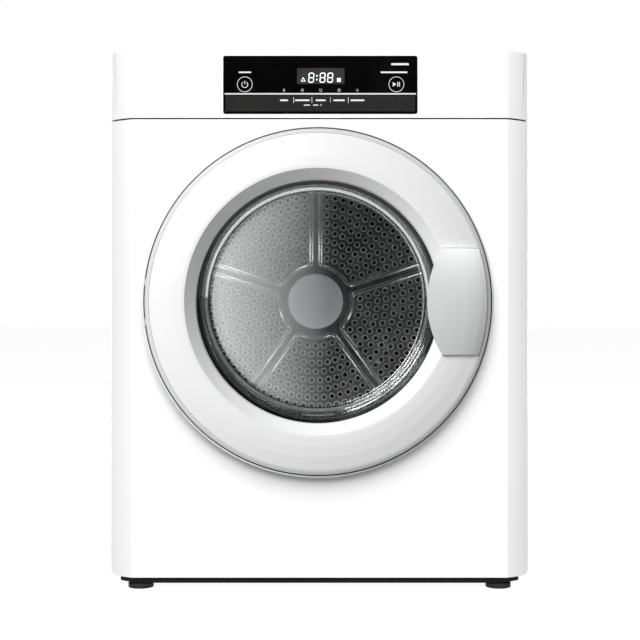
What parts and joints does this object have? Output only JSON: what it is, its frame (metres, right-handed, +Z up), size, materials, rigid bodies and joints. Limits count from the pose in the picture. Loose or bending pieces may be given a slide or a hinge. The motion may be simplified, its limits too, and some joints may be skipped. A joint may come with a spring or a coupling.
{
  "type": "clothes dryer",
  "caption": "Compact vented clothes dryer with a glazed porthole door, belt-driven perforated drum, fan, heater, lift-out lint filter, press keys and screw-in feet.",
  "frame": {"origin": "centre of the footprint at floor level, under the middle of the overall box", "axes": "+Z up, the door and controls face -Y, +X to the right as seen from the front"},
  "size_m": [0.495, 0.44, 0.633],
  "materials": {
    "enamel": "smooth white stove enamel on sheet steel",
    "white_plastic": "satin-gloss white moulding",
    "pearl_plastic": "pale pearl grey moulding",
    "black_gloss": "polished black acrylic",
    "silver_trim": "satin silver",
    "glass": "clear pressed glass",
    "galvanised": "zinc-coated sheet steel",
    "stainless": "bright stainless sheet",
    "grey_plastic": "mid-grey moulding",
    "black_plastic": "black moulding with a fine grain",
    "rubber": "matt black rubber",
    "felt": "pressed wool felt",
    "circuit_board": "green solder mask"
  },
  "bodies": {
    "cabinet": {"base_pan": "black_plastic", "side_panel_left": "enamel", "side_panel_right": "enamel", "rear_panel": "galvanised", "top_cover": "enamel", "front_panel": "enamel", "control_fascia": "white_plastic", "display_window": "black_gloss", "trim_strip": "silver_trim", "control_board": "circuit_board", "front_bulkhead": "galvanised", "door_gasket": "rubber", "drum_front_seal": "felt", "drum_rear_seal": "felt", "rear_duct_cover": "galvanised", "heater": "stainless", "thermostat": "black_plastic", "bearing_bracket": "galvanised", "drum_bearing": "stainless", "motor": "galvanised", "fan_housing": "black_plastic", "lint_duct": "black_plastic", "exhaust_duct": "black_plastic", "exhaust_collar": "black_plastic", "drive_belt": "rubber", "latch_catch": "black_plastic", "hinge_bracket": "galvanised", "mains_gland": "black_plastic"},
    "door": {"door_ring": "white_plastic", "door_liner": "white_plastic", "door_glass": "glass", "glass_clamp": "grey_plastic", "door_handle": "pearl_plastic", "door_strike": "grey_plastic", "hinge_arm": "galvanised"},
    "drum": {"drum_shell": "stainless", "drum_back": "stainless", "drum_shaft": "stainless", "hub_cap": "grey_plastic", "lifter_1": "grey_plastic", "lifter_2": "grey_plastic", "lifter_3": "grey_plastic"},
    "rotor": {"rotor_shaft": "stainless", "fan_wheel": "black_plastic"},
    "idler_arm": {"idler_arm": "galvanised"},
    "idler_wheel": {"idler_wheel": "grey_plastic"},
    "support_roller_left": {"support_roller_left": "grey_plastic"},
    "support_roller_right": {"support_roller_right": "grey_plastic"},
    "lint_filter": {"lint_filter": "grey_plastic"},
    "power_key": {"power_key": "black_gloss"},
    "start_key": {"start_key": "black_gloss"},
    "programme_key_1": {"programme_key_1": "black_gloss"},
    "programme_key_2": {"programme_key_2": "black_gloss"},
    "programme_key_3": {"programme_key_3": "black_gloss"},
    "programme_key_4": {"programme_key_4": "black_gloss"},
    "programme_key_5": {"programme_key_5": "black_gloss"},
    "foot_front_left": {"foot_front_left": "rubber"},
    "foot_front_right": {"foot_front_right": "rubber"},
    "foot_rear_left": {"foot_rear_left": "rubber"},
    "foot_rear_right": {"foot_rear_right": "rubber"}
  },
  "joints": [
    {"name": "door_hinge", "type": "hinge", "parent": "cabinet", "child": "door", "pos_m": [-0.1985, -0.193, 0.337], "axis": [0, 0, -1], "range_deg": [0, 110]},
    {"name": "drum_spin", "type": "hinge", "parent": "cabinet", "child": "drum", "pos_m": [-0.0055, 0, 0.342], "axis": [0, 1, 0], "continuous": true},
    {"name": "rotor_spin", "type": "hinge", "parent": "cabinet", "child": "rotor", "pos_m": [0.15, 0, 0.08], "axis": [0, 1, 0], "continuous": true},
    {"name": "roller_left_spin", "type": "hinge", "parent": "cabinet", "child": "support_roller_left", "pos_m": [-0.1186, 0, 0.1293], "axis": [0, 1, 0], "continuous": true},
    {"name": "roller_right_spin", "type": "hinge", "parent": "cabinet", "child": "support_roller_right", "pos_m": [0.1076, 0, 0.1293], "axis": [0, 1, 0], "continuous": true},
    {"name": "idler_swing", "type": "hinge", "parent": "cabinet", "child": "idler_arm", "pos_m": [0.21, 0, 0.05], "axis": [0, 1, 0], "range_deg": [0, 6], "stiffness_Nm_per_rad": 2, "springref_deg": -8.59},
    {"name": "idler_spin", "type": "hinge", "parent": "idler_arm", "child": "idler_wheel", "pos_m": [0.19918, 0, 0.17578], "axis": [0, 1, 0], "continuous": true},
    {"name": "lint_filter_slide", "type": "slide", "parent": "cabinet", "child": "lint_filter", "axis": [0, 0, 1], "range_m": [0, 0.1]},
    {"name": "power_key_press", "type": "slide", "parent": "cabinet", "child": "power_key", "axis": [0, 1, 0], "range_m": [0, 0.001], "stiffness_N_per_m": 600, "springref_m": -0.0006},
    {"name": "start_key_press", "type": "slide", "parent": "cabinet", "child": "start_key", "axis": [0, 1, 0], "range_m": [0, 0.001], "stiffness_N_per_m": 600, "springref_m": -0.0006},
    {"name": "programme_key_1_press", "type": "slide", "parent": "cabinet", "child": "programme_key_1", "axis": [0, 1, 0], "range_m": [0, 0.001], "stiffness_N_per_m": 600, "springref_m": -0.0006},
    {"name": "programme_key_2_press", "type": "slide", "parent": "cabinet", "child": "programme_key_2", "axis": [0, 1, 0], "range_m": [0, 0.001], "stiffness_N_per_m": 600, "springref_m": -0.0006},
    {"name": "programme_key_3_press", "type": "slide", "parent": "cabinet", "child": "programme_key_3", "axis": [0, 1, 0], "range_m": [0, 0.001], "stiffness_N_per_m": 600, "springref_m": -0.0006},
    {"name": "programme_key_4_press", "type": "slide", "parent": "cabinet", "child": "programme_key_4", "axis": [0, 1, 0], "range_m": [0, 0.001], "stiffness_N_per_m": 600, "springref_m": -0.0006},
    {"name": "programme_key_5_press", "type": "slide", "parent": "cabinet", "child": "programme_key_5", "axis": [0, 1, 0], "range_m": [0, 0.001], "stiffness_N_per_m": 600, "springref_m": -0.0006},
    {"name": "foot_front_left_screw", "type": "slide", "parent": "cabinet", "child": "foot_front_left", "axis": [0, 0, -1], "range_m": [0, 0.008]},
    {"name": "foot_front_right_screw", "type": "slide", "parent": "cabinet", "child": "foot_front_right", "axis": [0, 0, -1], "range_m": [0, 0.008]},
    {"name": "foot_rear_left_screw", "type": "slide", "parent": "cabinet", "child": "foot_rear_left", "axis": [0, 0, -1], "range_m": [0, 0.008]},
    {"name": "foot_rear_right_screw", "type": "slide", "parent": "cabinet", "child": "foot_rear_right", "axis": [0, 0, -1], "range_m": [0, 0.008]}
  ],
  "couplings": [
    {"joint": "rotor_spin", "follows": "drum_spin", "ratio": 31.714},
    {"joint": "roller_left_spin", "follows": "drum_spin", "ratio": -12.333},
    {"joint": "roller_right_spin", "follows": "drum_spin", "ratio": -12.333},
    {"joint": "idler_spin", "follows": "drum_spin", "ratio": -15.857}
  ]
}
